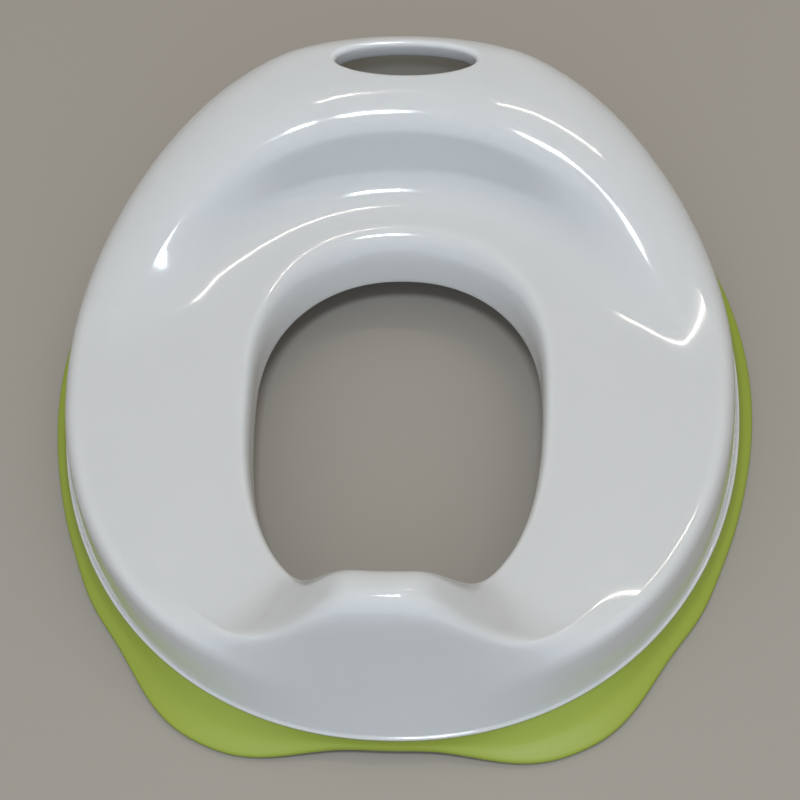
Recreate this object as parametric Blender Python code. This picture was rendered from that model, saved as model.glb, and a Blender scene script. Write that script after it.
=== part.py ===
"""A child's toilet seat reducer: a hollow moulded seat on a green base ring.

Lengths are metres, +Z is up, the splash guard is at -Y and the raised back at +Y.
The origin is under the middle of the object, on the surface that it stands on.
Turns are measured round the object from +Y, the middle of the back.
"""
import math

import bmesh
import bpy
from mathutils import Vector

# Levels above the surface that the pads stand on
PAD_DROP = 0.0010
RIM_HEIGHT = 0.0180
LIP_HEIGHT = 0.0330
SEAT_HEIGHT = 0.0580
GUARD_HEIGHT = 0.1020
BACK_HEIGHT = 0.1030

# Plan of the seat: the rim flange and the opening
RIM_WIDTH = 0.3350
RIM_REAR_REACH = 0.1753
RIM_FRONT_REACH = 0.1783
OPENING_WIDTH = 0.1402
OPENING_REAR_REACH = 0.0785
OPENING_FRONT_REACH = 0.1055
OPENING_SETBACK = 0.0208

# Walls and clearances
SEAT_WALL = 0.0025
RING_WALL = 0.0028
FLANGE_WIDTH = 0.0025
CLEARANCE = 0.0003
OVERRUN = 0.0020

# How square the plans are at the rear and at the front: 2 is an ellipse, more is squarer
RIM_SQUARENESS_SHARES = (2.145, 2.116)
OPENING_SQUARENESS_SHARES = (2.18, 2.70)

# Where the raised back and the splash guard are whole, and where they have died out
BACK_WHOLE_TURN = math.radians(17)
BACK_GONE_TURN = math.radians(86)
FOOT_SWING_TURN = math.radians(56)
FOOT_GONE_TURN = math.radians(92)
CREST_WHOLE_TURN = math.radians(5)
CREST_GONE_TURN = math.radians(28.8)
FACE_GONE_TURN = math.radians(50)

# Hand slot in the top of the back
SLOT_WIDTH = 0.0700
SLOT_DEPTH = 0.0180
SLOT_INSET = 0.0300
SLOT_LIP_DROP = 0.0060
SLOT_LIP_WALL = 0.0020

# Base ring
RING_OVERHANG = 0.0083
WAIST_OVERHANG = 0.0060
WAIST_START_TURN = math.radians(82)
WAIST_TURN = math.radians(112)
FOOT_REACH = 0.0139
FOOT_TURN = math.radians(153.5)
FOOT_SPREAD_TURN = math.radians(26)
FRONT_OVERHANG = 0.0002
FRONT_SPREAD_TURN = math.radians(32)
ARCH_HEIGHT = 0.0055
ARCH_SPREAD_TURN = math.radians(26)
RING_EDGE = 0.0030
UPSTAND_INSET = 0.0090
UPSTAND_RISE = 0.0050
RING_FLOOR_WIDTH = 0.0360
RING_FLOOR = 0.0035
RING_STIFFENER = 0.0045

# Fixings
SCREW_TURNS = tuple(math.radians(turn) for turn in (80, 136, 224, 280))
SCREW_INSET = 0.0270
SCREW_RADIUS = 0.0019
SCREW_LENGTH = 0.0150
SCREW_HEAD_RADIUS = 0.0040
SCREW_HEAD_HEIGHT = 0.0022
SCREW_FLOOR = 0.0025
POST_RADIUS = 0.0050
HOOK_TURNS = tuple(math.radians(turn) for turn in (28, 332))
HOOK_WIDTH = 0.0160
HOOK_BARB = 0.0020

# Rubber pads, pushed into the underside of the ring
PAD_TURNS = tuple(math.radians(turn) for turn in (24, 62, 108, 252, 298, 336))
PAD_INSET = 0.0270
PAD_LENGTH = 0.0320
PAD_WIDTH = 0.0100
PAD_SEAT_DEPTH = 0.0017
PAD_STEM_RADIUS = 0.0022
PAD_HEAD_RADIUS = 0.0034
PAD_HEAD_HEIGHT = 0.0016

# How finely the forms are divided
STATIONS = 64
ARC_STEPS = 4
ROUND_SIDES = 16
FRONT_CROWDING_SHARE = 0.30

# Each section's four corners as (reach, level, rounding before, rounding after).
# Reaches and roundings are shares of the way from the opening to the rim. Level 0
# is the rim, 1 the seat and 2 the section's own top.
SIDE_CORNER_SHARES = (
    (0.015, 1.0, 0.20, 0.12),
    (0.66, 1.0, 0.04, 0.04),
    (0.735, 1.0, 0.03, 0.03),
    (0.872, 1.0, 0.10, 0.11),
)
BACK_CORNER_SHARES = (
    (0.015, 1.0, 0.19, 0.12),
    (0.34, 1.0, 0.11, 0.11),
    (0.56, 2.0, 0.12, 0.11),
    (0.90, 2.0, 0.09, 0.11),
)
GUARD_CORNER_SHARES = (
    (0.0, 2.0, 0.24, 0.23),
    (0.40, 2.0, 0.165, 0.165),
    (0.60, 1.27, 0.05, 0.05),
    (0.795, 0.575, 0.05, 0.05),
)


def ease(share):
    """A smooth rise from 0 to 1 with no kink at either end."""
    held = min(max(share, 0.0), 1.0)
    return held ** 3 * (held * (held * 6 - 15) + 10)


def ramp(share):
    """A rise from 0 to 1 that leaves its ends more quickly than ease."""
    held = min(max(share, 0.0), 1.0)
    return held ** 2 * (3 - 2 * held)


def from_front(turn):
    """The turn between a station and the middle of the front."""
    return abs(math.pi - turn % (2 * math.pi))


def from_rear(turn):
    """The turn between a station and the middle of the back."""
    return math.pi - from_front(turn)


def faded(turn, whole, gone, rise=ease):
    """1 up to the turn where a form is whole, easing to 0 where it is gone."""
    return rise((gone - turn) / (gone - whole))


def plan_reach(turn, half_width, rear, front, squareness_shares):
    """How far a plan outline lies from its centre in one direction."""
    toward_front = (1 - math.cos(turn)) / 2
    at_rear, at_front = squareness_shares
    squareness = at_rear + (at_front - at_rear) * toward_front
    length = rear if math.cos(turn) > 0 else front
    across = abs(math.sin(turn)) / half_width
    along = abs(math.cos(turn)) / length
    return (across ** squareness + along ** squareness) ** (-1 / squareness)


def around(turn, reach, setback=0.0):
    """The plan point at a reach from the centre, which may be set towards the front."""
    return Vector((reach * math.sin(turn), reach * math.cos(turn) - setback, 0.0))


def rim_reach(turn):
    """Reach of the rim flange's outer edge."""
    return plan_reach(turn, RIM_WIDTH / 2, RIM_REAR_REACH, RIM_FRONT_REACH,
                      RIM_SQUARENESS_SHARES)


def rim_point(turn, inset=0.0):
    """The plan point that lies an inset inside the rim."""
    return around(turn, rim_reach(turn) - inset)


def opening_point(turn):
    """The plan point on the opening's lower edge."""
    reach = plan_reach(turn, OPENING_WIDTH / 2, OPENING_REAR_REACH, OPENING_FRONT_REACH,
                       OPENING_SQUARENESS_SHARES)
    return around(turn, reach, OPENING_SETBACK)


def level_height(level, top):
    """Height of a level: 0 is the rim, 1 the seat and 2 the given top."""
    below = min(level, 1.0)
    above = level - below
    return RIM_HEIGHT + below * (SEAT_HEIGHT - RIM_HEIGHT) + above * (top - SEAT_HEIGHT)


def section_corners(turn):
    """The four rounded corners of the seat's section, and the way across it."""
    inner = opening_point(turn)
    across = (rim_point(turn) - inner).length
    back = faded(from_rear(turn), BACK_WHOLE_TURN, BACK_GONE_TURN, ramp)
    foot = faded(from_rear(turn), FOOT_SWING_TURN, FOOT_GONE_TURN)
    crest = faded(from_front(turn), CREST_WHOLE_TURN, CREST_GONE_TURN)
    face = faded(from_front(turn), CREST_WHOLE_TURN, FACE_GONE_TURN)
    corners = []
    tables = zip(SIDE_CORNER_SHARES, BACK_CORNER_SHARES, GUARD_CORNER_SHARES)
    for side, rear, guard in tables:
        front = face if side is SIDE_CORNER_SHARES[-1] else crest
        raised = foot if side is SIDE_CORNER_SHARES[1] else back
        heights = (level_height(side[1], SEAT_HEIGHT), level_height(rear[1], BACK_HEIGHT),
                   level_height(guard[1], GUARD_HEIGHT))
        weights = (1 - raised - front, raised, front)
        reach, before, after = (
            across * sum(w * row[i] for w, row in zip(weights, (side, rear, guard)))
            for i in (0, 2, 3))
        height = sum(w * h for w, h in zip(weights, heights))
        corners.append((Vector((reach, height)), before, after))
    return corners, across


def rounded(start, corners, end, steps):
    """Points along a line whose corners are turned by parabolic arcs."""
    stops = [start] + [corner for corner, before, after in corners] + [end]
    points = [start]
    for place, (corner, before, after) in enumerate(corners, 1):
        back = (stops[place - 1] - corner).normalized() * before
        ahead = (stops[place + 1] - corner).normalized() * after
        for step in range(steps + 1):
            share = step / steps
            points.append(corner + back * (1 - share) ** 2 + ahead * share ** 2)
    return points + [end]


def seat_section(turn, steps=ARC_STEPS):
    """One section of the seat's outer face, from the opening's lip to the rim."""
    corners, across = section_corners(turn)
    lip = Vector((0.0, LIP_HEIGHT))
    root = Vector((across - FLANGE_WIDTH, RIM_HEIGHT))
    line = rounded(lip, corners, root, steps) + [Vector((across, RIM_HEIGHT))]
    inner = opening_point(turn)
    outward = (rim_point(turn) - inner) / across
    return [inner + outward * point.x + Vector((0, 0, point.y)) for point in line]


def station_turns(count):
    """Turns of the stations, closer together round the splash guard."""
    turns = []
    for place in range(count):
        even = 2 * math.pi * place / count
        turns.append(even + FRONT_CROWDING_SHARE * math.sin(even))
    return turns


def make_material(name, colour, roughness):
    """A plain plastic or rubber with the colour of the piece."""
    material = bpy.data.materials.new(name)
    material.use_nodes = True
    shader = material.node_tree.nodes["Principled BSDF"]
    shader.inputs["Base Color"].default_value = (*colour, 1.0)
    shader.inputs["Roughness"].default_value = roughness
    shader.inputs["Metallic"].default_value = 0.0
    return material


def make_object(name, mesh_data, material=None):
    """A named object from a finished bmesh, shaded smooth."""
    mesh = bpy.data.meshes.new(name)
    bmesh.ops.recalc_face_normals(mesh_data, faces=mesh_data.faces)
    mesh_data.to_mesh(mesh)
    mesh_data.free()
    mesh.shade_smooth()
    mesh.set_sharp_from_angle(angle=math.radians(35))
    if material:
        mesh.materials.append(material)
    made = bpy.data.objects.new(name, mesh)
    bpy.context.scene.collection.objects.link(made)
    return made


def make_cutter(name, mesh_data):
    """An object that only cuts or joins, left out of the part."""
    cutter = make_object(name, mesh_data)
    cutter.hide_render = True
    cutter.display_type = "WIRE"
    return cutter


def combine(target, tool, operation, solver="EXACT"):
    """Join a tool to a piece or cut it out of the piece."""
    modifier = target.modifiers.new(tool.name, "BOOLEAN")
    modifier.operation = operation
    modifier.solver = solver
    modifier.object = tool


def loft(sections, closed_section):
    """A bmesh skinned over sections that follow each other round the object."""
    skin = bmesh.new()
    rings = [[skin.verts.new(point) for point in section] for section in sections]
    points = len(rings[0])
    spans = points if closed_section else points - 1
    for ring, following in zip(rings, rings[1:] + rings[:1]):
        for place in range(spans):
            after = (place + 1) % points
            skin.faces.new((ring[place], following[place], following[after], ring[after]))
    return skin


def prism(outline, bottom, top):
    """A closed bmesh between two levels over a flat outline."""
    block = bmesh.new()
    low = [block.verts.new((x, y, bottom)) for x, y in outline]
    high = [block.verts.new((x, y, top)) for x, y in outline]
    block.faces.new(low)
    block.faces.new(high)
    for place in range(len(outline)):
        after = (place + 1) % len(outline)
        block.faces.new((low[place], low[after], high[after], high[place]))
    return block


def oval(centre, half_length, half_width, sides, turn=0.0):
    """An ellipse outline whose length lies along the ring at the given turn."""
    along = Vector((math.cos(turn), -math.sin(turn)))
    outward = Vector((math.sin(turn), math.cos(turn)))
    outline = []
    for place in range(sides):
        angle = 2 * math.pi * place / sides
        point = Vector(centre[:2]) + along * half_length * math.cos(angle)
        outline.append(point + outward * half_width * math.sin(angle))
    return outline


def stadium(centre, length, width, turn, sides=ROUND_SIDES):
    """A round-ended outline whose length lies along the ring at the given turn."""
    along = Vector((math.cos(turn), -math.sin(turn)))
    outward = Vector((math.sin(turn), math.cos(turn)))
    run = (length - width) / 2
    outline = []
    for end in (1, -1):
        for place in range(sides // 2 + 1):
            angle = math.pi * place / (sides // 2) - math.pi / 2
            round_point = along * math.cos(angle) + outward * math.sin(angle)
            outline.append(Vector(centre[:2]) + end * (along * run + round_point * width / 2))
    return outline


def turned(profile, sides, centre=(0.0, 0.0)):
    """A closed bmesh turned about a vertical axis from (radius, height) points."""
    body = bmesh.new()
    rings = []
    for radius, height in profile:
        if radius == 0:
            rings.append([body.verts.new((centre[0], centre[1], height))] * sides)
            continue
        rings.append([body.verts.new((centre[0] + radius * math.cos(2 * math.pi * place / sides),
                                      centre[1] + radius * math.sin(2 * math.pi * place / sides),
                                      height)) for place in range(sides)])
    for low, high in zip(rings, rings[1:]):
        for place in range(sides):
            after = (place + 1) % sides
            corners = [low[place], low[after], high[after], high[place]]
            body.faces.new(list(dict.fromkeys(corners)))
    return body


def gathered(blocks):
    """One bmesh that holds several closed blocks which don't touch."""
    whole = bmesh.new()
    for block in blocks:
        bmesh.ops.recalc_face_normals(block, faces=block.faces)
        copies = {vertex: whole.verts.new(vertex.co) for vertex in block.verts}
        for face in block.faces:
            whole.faces.new([copies[vertex] for vertex in face.verts])
        block.free()
    return whole


def make_seat_shell(material):
    """The white seat: a smooth skin with a wall inside, the slot, posts and catches."""
    skin = loft([seat_section(turn) for turn in station_turns(STATIONS)], False)
    shell = make_object("seat_shell", skin, material)
    wall = shell.modifiers.new("wall", "SOLIDIFY")
    wall.thickness = SEAT_WALL
    wall.offset = -1.0
    added = [slot_collar()]
    added += [screw_post(turn) for turn in SCREW_TURNS]
    added += [catch_rib(turn) for turn in HOOK_TURNS]
    combine(shell, make_cutter("seat_added", gathered(added)), "UNION")
    removed = [slot_hole()] + [pilot_bore(turn) for turn in SCREW_TURNS]
    combine(shell, make_cutter("seat_removed", gathered(removed)), "DIFFERENCE")
    return shell


def slot_outline(margin):
    """The hand slot's plan, wider all round by a margin."""
    return oval(rim_point(0.0, SLOT_INSET), SLOT_WIDTH / 2 + margin, SLOT_DEPTH / 2 + margin,
                2 * ROUND_SIDES)


def slot_collar():
    """The turned-down lip of the hand slot, still solid."""
    underside = BACK_HEIGHT - SEAT_WALL
    return prism(slot_outline(SLOT_LIP_WALL), underside - SLOT_LIP_DROP, underside + SEAT_WALL / 2)


def slot_hole():
    """What the hand slot takes out of the back and its lip."""
    low = BACK_HEIGHT - SEAT_WALL - SLOT_LIP_DROP - OVERRUN
    return prism(slot_outline(0.0), low, BACK_HEIGHT + OVERRUN)


def skin_height(turn, inset):
    """Height of the seat's outer face over the plan point at an inset from the rim."""
    rim = rim_point(turn)
    flat = [(math.hypot(point.x - rim.x, point.y - rim.y), point.z)
            for point in seat_section(turn)[:-2]]
    for (far, high), (near, low) in zip(flat, flat[1:]):
        if near <= inset <= far:
            return low + (high - low) * (inset - near) / (far - near)
    return SEAT_HEIGHT


def screw_seat():
    """Level of the face that a screw's head bears on."""
    return PAD_DROP + SCREW_HEAD_HEIGHT + OVERRUN


def post_foot():
    """Level of the posts' lower ends, just over the bosses of the ring."""
    return screw_seat() + SCREW_FLOOR + CLEARANCE


def screw_post(turn):
    """A round post under the seat for one screw."""
    top = skin_height(turn, SCREW_INSET) - SEAT_WALL / 2
    profile = [(0, post_foot()), (POST_RADIUS, post_foot()), (POST_RADIUS, top), (0, top)]
    return turned(profile, ROUND_SIDES, rim_point(turn, SCREW_INSET))


def pilot_bore(turn):
    """The bore in a post that the screw cuts its thread in."""
    radius = SCREW_RADIUS + CLEARANCE
    low = post_foot() - OVERRUN
    high = screw_seat() + SCREW_LENGTH + OVERRUN
    profile = [(0, low), (radius, low), (radius, high), (0, high)]
    return turned(profile, ROUND_SIDES, rim_point(turn, SCREW_INSET))


def across_plate(turn, side_view, width):
    """A closed bmesh: an outline of (reach, height) made wide along the ring."""
    along = Vector((math.cos(turn), -math.sin(turn), 0.0)) * width / 2
    outward = around(turn, 1.0)
    block = bmesh.new()
    ends = []
    for side in (-1, 1):
        ends.append([block.verts.new(outward * reach + along * side + Vector((0, 0, height)))
                     for reach, height in side_view])
        block.faces.new(ends[-1])
    for place in range(len(side_view)):
        after = (place + 1) % len(side_view)
        block.faces.new((ends[0][place], ends[0][after], ends[1][after], ends[1][place]))
    return block


def catch_height():
    """Level of the underside of the rib that a hook snaps over."""
    return RIM_HEIGHT + UPSTAND_RISE


def catch_rib(turn):
    """A rib inside the back wall, which the ring's hook snaps over."""
    reach = rim_reach(turn)
    low = catch_height()
    inner = reach - UPSTAND_INSET + CLEARANCE
    outer = reach - FLANGE_WIDTH - SEAT_WALL
    high = low + HOOK_BARB
    outline = [(inner, low), (outer, low), (outer, high), (inner, high)]
    return across_plate(turn, outline, HOOK_WIDTH)


def ring_overhang(turn):
    """How far the ring's foot stands out past the rim: most at the two front feet."""
    rear = from_rear(turn)
    foot = faded(abs(rear - FOOT_TURN), 0.0, FOOT_SPREAD_TURN)
    wide = faded(rear, WAIST_START_TURN, WAIST_TURN)
    flush = faded(from_front(turn), 0.0, FRONT_SPREAD_TURN)
    plain = WAIST_OVERHANG + (RING_OVERHANG - WAIST_OVERHANG) * wide
    return plain + (FRONT_OVERHANG - plain) * flush + FOOT_REACH * foot


def ring_section(turn):
    """One section of the base ring: skirt, ledge, upstand and floor."""
    arch = ARCH_HEIGHT * faded(from_front(turn), 0.0, ARCH_SPREAD_TURN)
    foot = PAD_DROP + arch
    over = ring_overhang(turn)
    ledge = RIM_HEIGHT - SEAT_WALL - CLEARANCE
    floor = PAD_DROP + RING_FLOOR
    upstand = UPSTAND_INSET
    heel = UPSTAND_INSET + RING_WALL
    end = heel + RING_FLOOR_WIDTH
    line = [
        (over - RING_EDGE / 2, foot),
        (over, foot + RING_EDGE / 2),
        (over, foot + RING_EDGE),
        (over / 2, (foot + RING_EDGE + ledge) / 2 + RING_EDGE * over / RIM_HEIGHT / 4),
        (0.0, ledge),
        (-upstand, ledge),
        (-upstand, ledge + UPSTAND_RISE),
        (-heel, ledge + UPSTAND_RISE),
        (-heel, floor),
        (-end + RING_WALL, floor),
        (-end + RING_WALL, floor + RING_STIFFENER),
        (-end, floor + RING_STIFFENER),
        (-end, PAD_DROP),
        (-upstand, PAD_DROP),
        (-upstand, ledge - RING_WALL),
        (-RING_WALL, ledge - RING_WALL),
        (over - RING_WALL - RING_EDGE / 2, foot),
    ]
    outward = around(turn, 1.0)
    return [outward * (rim_reach(turn) + reach) + Vector((0, 0, height)) for reach, height in line]


def make_base_ring(material):
    """The green ring under the rim, with its bosses, pad seats and hooks."""
    skin = loft([ring_section(turn) for turn in station_turns(STATIONS)], True)
    ring = make_object("base_ring", skin, material)
    added = [screw_boss(turn) for turn in SCREW_TURNS] + [ring_hook(turn) for turn in HOOK_TURNS]
    combine(ring, make_cutter("ring_added", gathered(added)), "UNION", "MANIFOLD")
    holes = [screw_hole(turn) for turn in SCREW_TURNS] + [stem_hole(turn) for turn in PAD_TURNS]
    combine(ring, make_cutter("ring_holes", gathered(holes)), "DIFFERENCE", "MANIFOLD")
    pockets = [pad_pocket(turn) for turn in PAD_TURNS]
    combine(ring, make_cutter("ring_pockets", gathered(pockets)), "DIFFERENCE", "MANIFOLD")
    return ring


def screw_boss(turn):
    """A round boss on the ring's floor, under one of the seat's posts."""
    root = PAD_DROP + RING_FLOOR / 2
    top = screw_seat() + SCREW_FLOOR
    wide = SCREW_HEAD_RADIUS + RING_WALL
    return turned([(0, root), (wide, root), (wide, top), (0, top)], ROUND_SIDES,
                  rim_point(turn, SCREW_INSET))


def screw_hole(turn):
    """The counterbore and hole for one screw."""
    low = PAD_DROP - OVERRUN
    high = screw_seat() + SCREW_FLOOR + OVERRUN
    recess = SCREW_HEAD_RADIUS + CLEARANCE
    hole = SCREW_RADIUS + CLEARANCE
    profile = [(0, low), (recess, low), (recess, screw_seat()), (hole, screw_seat()),
               (hole, high), (0, high)]
    return turned(profile, ROUND_SIDES, rim_point(turn, SCREW_INSET))


def ring_hook(turn):
    """A springy tongue on the upstand, whose barb holds the seat's catch rib."""
    face = rim_reach(turn) - UPSTAND_INSET
    heel = face - RING_WALL
    root = RIM_HEIGHT - SEAT_WALL - CLEARANCE - RING_WALL / 2
    barb = catch_height() + HOOK_BARB + CLEARANCE
    outline = [(heel, root), (face, root), (face, barb), (face + HOOK_BARB, barb),
               (face, barb + HOOK_BARB), (heel, barb + HOOK_BARB)]
    return across_plate(turn, outline, HOOK_WIDTH - 2 * RING_WALL)


def pad_pocket(turn):
    """The pocket under the ring's floor that one pad sits in."""
    outline = stadium(rim_point(turn, PAD_INSET), PAD_LENGTH + 2 * CLEARANCE,
                      PAD_WIDTH + 2 * CLEARANCE, turn)
    return prism(outline, PAD_DROP - OVERRUN, PAD_DROP + PAD_SEAT_DEPTH)


def stem_hole(turn):
    """The hole through the ring's floor for one pad's stem."""
    radius = PAD_STEM_RADIUS + CLEARANCE
    low = PAD_DROP - OVERRUN
    high = PAD_DROP + RING_FLOOR + OVERRUN
    return turned([(0, low), (radius, low), (radius, high), (0, high)], ROUND_SIDES,
                  rim_point(turn, PAD_INSET))


def make_pad(place, turn, material):
    """A rubber pad with a stem and a mushroom head that holds it in the ring."""
    centre = rim_point(turn, PAD_INSET)
    top = PAD_DROP + PAD_SEAT_DEPTH - CLEARANCE
    foot = prism(stadium(centre, PAD_LENGTH, PAD_WIDTH, turn), 0.0, top)
    pad = make_object(f"grip_pad_{place}", foot, material)
    head = PAD_DROP + RING_FLOOR + CLEARANCE
    stem = turned([(0, top / 2), (PAD_STEM_RADIUS, top / 2), (PAD_STEM_RADIUS, head),
                   (PAD_HEAD_RADIUS, head), (PAD_STEM_RADIUS, head + PAD_HEAD_HEIGHT),
                   (0, head + PAD_HEAD_HEIGHT)], ROUND_SIDES, centre)
    combine(pad, make_cutter(f"pad_stem_{place}", stem), "UNION")
    return pad


def make_screw(place, turn, material):
    """A self-tapping screw from below, through the ring into the seat's post."""
    seat = screw_seat() - CLEARANCE
    tip = seat + SCREW_LENGTH
    shank = SCREW_RADIUS
    rounding = SCREW_HEAD_HEIGHT / 3
    low = seat - SCREW_HEAD_HEIGHT
    profile = [(0, low), (SCREW_HEAD_RADIUS - rounding, low), (SCREW_HEAD_RADIUS, low + rounding),
               (SCREW_HEAD_RADIUS, seat), (shank, seat), (shank, tip - 2 * shank), (0, tip)]
    body = turned(profile, ROUND_SIDES, rim_point(turn, SCREW_INSET))
    return make_object(f"base_screw_{place}", body, material)


def main():
    """Clear the scene and make every piece."""
    for old in list(bpy.data.objects):
        bpy.data.objects.remove(old)
    white = make_material("white_gloss_plastic", (0.80, 0.80, 0.79), 0.22)
    green = make_material("green_satin_plastic", (0.27, 0.38, 0.05), 0.42)
    rubber = make_material("grey_rubber", (0.12, 0.12, 0.12), 0.85)
    steel = make_material("zinc_steel", (0.55, 0.55, 0.56), 0.35)
    steel.node_tree.nodes["Principled BSDF"].inputs["Metallic"].default_value = 1.0
    make_seat_shell(white)
    make_base_ring(green)
    for place, turn in enumerate(PAD_TURNS, 1):
        make_pad(place, turn, rubber)
    for place, turn in enumerate(SCREW_TURNS, 1):
        make_screw(place, turn, steel)


main()
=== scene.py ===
import math

import bmesh
import bpy
from mathutils import Matrix, Vector


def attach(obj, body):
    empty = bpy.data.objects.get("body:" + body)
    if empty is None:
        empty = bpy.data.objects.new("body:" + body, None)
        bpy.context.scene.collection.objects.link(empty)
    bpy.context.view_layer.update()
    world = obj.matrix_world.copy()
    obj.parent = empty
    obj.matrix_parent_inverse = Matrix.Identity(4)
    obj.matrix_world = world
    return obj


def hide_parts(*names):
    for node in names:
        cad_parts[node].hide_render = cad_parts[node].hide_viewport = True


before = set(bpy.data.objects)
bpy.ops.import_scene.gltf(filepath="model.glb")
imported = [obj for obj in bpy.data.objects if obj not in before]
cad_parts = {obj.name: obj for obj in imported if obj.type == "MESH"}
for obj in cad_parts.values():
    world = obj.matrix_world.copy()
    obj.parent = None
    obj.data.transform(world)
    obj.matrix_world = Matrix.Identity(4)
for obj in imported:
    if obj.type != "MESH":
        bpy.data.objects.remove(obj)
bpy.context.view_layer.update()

# The seat: one hollow moulding of white gloss polypropylene, open below, with an
# even wall. Its section changes round the opening from the low side deck to the
# raised back and to the splash guard, and ends below in a thin rim flange.
RIM_HEIGHT = 0.0180
LIP_HEIGHT = 0.0330
SEAT_HEIGHT = 0.0580
GUARD_HEIGHT = 0.1020
BACK_HEIGHT = 0.1030
RIM_WIDTH = 0.3350
RIM_REAR_REACH = 0.1753
RIM_FRONT_REACH = 0.1783
RIM_SQUARENESS = (2.145, 2.116)
OPENING_WIDTH = 0.1402
OPENING_REAR_REACH = 0.0785
OPENING_FRONT_REACH = 0.1055
OPENING_SETBACK = 0.0208
OPENING_SQUARENESS = (2.18, 2.70)
FLANGE_WIDTH = 0.0017
SEAT_STATIONS = 360
SEAT_ARC_STEPS = 10
SEAT_RUN_STEPS = 4
FRONT_CROWDING = 0.15
ROUNDING_SHARE = 0.97

# The turns where each form is still whole, and where it has gone. The back, its
# scoop and its foot count from the middle of the rear. The guard's crest, table,
# flank and face count from the middle of the front.
BACK_TURNS = (math.radians(17), math.radians(86))
SCOOP_TURNS = (math.radians(18), math.radians(91))
FOOT_TURNS = (math.radians(56), math.radians(102))
CREST_TURNS = (math.radians(5), math.radians(28.8))
TABLE_TURNS = (math.radians(1), math.radians(33))
FLANK_TURNS = (math.radians(5), math.radians(39))
FACE_TURNS = (math.radians(5), math.radians(50))

# Each section's four corners: reach, level, and the rounding before and after.
# Reach and rounding are shares of the way from the opening to the rim; level 0
# is the rim, 1 the deck and 2 the section's own top.
SIDE_CORNERS = ((0.0, 1.0, 0.11, 0.055), (0.66, 1.0, 0.12, 0.035),
                (0.735, 1.0, 0.035, 0.11), (0.935, 1.0, 0.085, 0.12))
BACK_CORNERS = ((0.075, 1.0, 0.14, 0.09), (0.355, 1.0, 0.175, 0.125),
                (0.470, 2.0, 0.125, 0.265), (0.90, 2.0, 0.09, 0.11))
GUARD_CORNERS = ((0.0, 2.0, 0.24, 0.23), (0.40, 2.0, 0.165, 0.27),
                 (0.60, 1.27, 0.07, 0.07), (0.795, 0.575, 0.07, 0.07))

# Where the back falls to the sides, its outer top corner is further in and rounder
SHOULDER_INSET = 0.030
SHOULDER_ROUNDING = 0.17


def ease(share):
    """A rise from 0 to 1 with no kink at either end."""
    held = min(max(share, 0.0), 1.0)
    return held ** 3 * (held * (held * 6 - 15) + 10)


def ramp(share):
    """A rise from 0 to 1 that leaves its ends sooner than ease does."""
    held = min(max(share, 0.0), 1.0)
    return held ** 2 * (3 - 2 * held)


def from_front(turn):
    """The turn between a station and the middle of the front."""
    return abs(math.pi - turn % (2 * math.pi))


def from_rear(turn):
    """The turn between a station and the middle of the back."""
    return math.pi - from_front(turn)


def faded(turn, turns, rise=ease):
    """1 up to the first turn, and down to 0 at the second."""
    whole, gone = turns
    return rise((gone - turn) / (gone - whole))


def plan_reach(turn, half_width, rear, front, squareness):
    """How far a plan outline lies from its middle in one direction."""
    toward_front = (1 - math.cos(turn)) / 2
    power = squareness[0] + (squareness[1] - squareness[0]) * toward_front
    length = rear if math.cos(turn) > 0 else front
    across = abs(math.sin(turn)) / half_width
    along = abs(math.cos(turn)) / length
    return (across ** power + along ** power) ** (-1 / power)


def around(turn, reach, setback=0.0):
    """The plan point at a reach from the middle."""
    return Vector((reach * math.sin(turn), reach * math.cos(turn) - setback, 0.0))


def rim_reach(turn):
    """Reach of the rim flange's outer edge."""
    return plan_reach(turn, RIM_WIDTH / 2, RIM_REAR_REACH, RIM_FRONT_REACH, RIM_SQUARENESS)


def rim_point(turn, inset=0.0):
    """The plan point at an inset inside the rim."""
    return around(turn, rim_reach(turn) - inset)


def opening_point(turn):
    """The plan point on the opening's lower edge."""
    reach = plan_reach(turn, OPENING_WIDTH / 2, OPENING_REAR_REACH, OPENING_FRONT_REACH,
                       OPENING_SQUARENESS)
    return around(turn, reach, OPENING_SETBACK)


def level_height(level, top):
    """Height of a level, where 0 is the rim, 1 the deck and 2 the given top."""
    below = min(level, 1.0)
    return (RIM_HEIGHT + below * (SEAT_HEIGHT - RIM_HEIGHT)
            + (level - below) * (top - SEAT_HEIGHT))


def section_corners(turn):
    """The rounded corners of the section at a turn, and its length in plan."""
    across = (rim_point(turn) - opening_point(turn)).length
    back = faded(from_rear(turn), BACK_TURNS, ramp)
    scoop = faded(from_rear(turn), SCOOP_TURNS, ramp)
    foot = faded(from_rear(turn), FOOT_TURNS)
    crest = faded(from_front(turn), CREST_TURNS)
    table = faded(from_front(turn), TABLE_TURNS)
    flank = faded(from_front(turn), FLANK_TURNS)
    face = faded(from_front(turn), FACE_TURNS)
    raised_at = (back, foot, scoop, back)
    front_at = (crest, table, flank, face)
    corners = []
    for place, rows in enumerate(zip(SIDE_CORNERS, BACK_CORNERS, GUARD_CORNERS)):
        raised, front = raised_at[place], front_at[place]
        weights = (1 - raised - front, raised, front)
        tops = (SEAT_HEIGHT, BACK_HEIGHT, GUARD_HEIGHT)
        reach, before, after = (across * sum(w * row[i] for w, row in zip(weights, rows))
                                for i in (0, 2, 3))
        height = sum(w * level_height(row[1], top) for w, row, top in zip(weights, rows, tops))
        corners.append([Vector((reach, height)), before, after])
    shoulder = 4 * back * (1 - back)  # 1 halfway down from the back, 0 at either end
    corners[-1][0].x -= across * SHOULDER_INSET * shoulder
    corners[-1][1] += across * SHOULDER_ROUNDING * shoulder
    for near, far in zip(corners, corners[1:]):
        room = (far[0] - near[0]).length * ROUNDING_SHARE / (near[2] + far[1])
        near[2], far[1] = near[2] * min(room, 1.0), far[1] * min(room, 1.0)
    return corners, across


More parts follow.
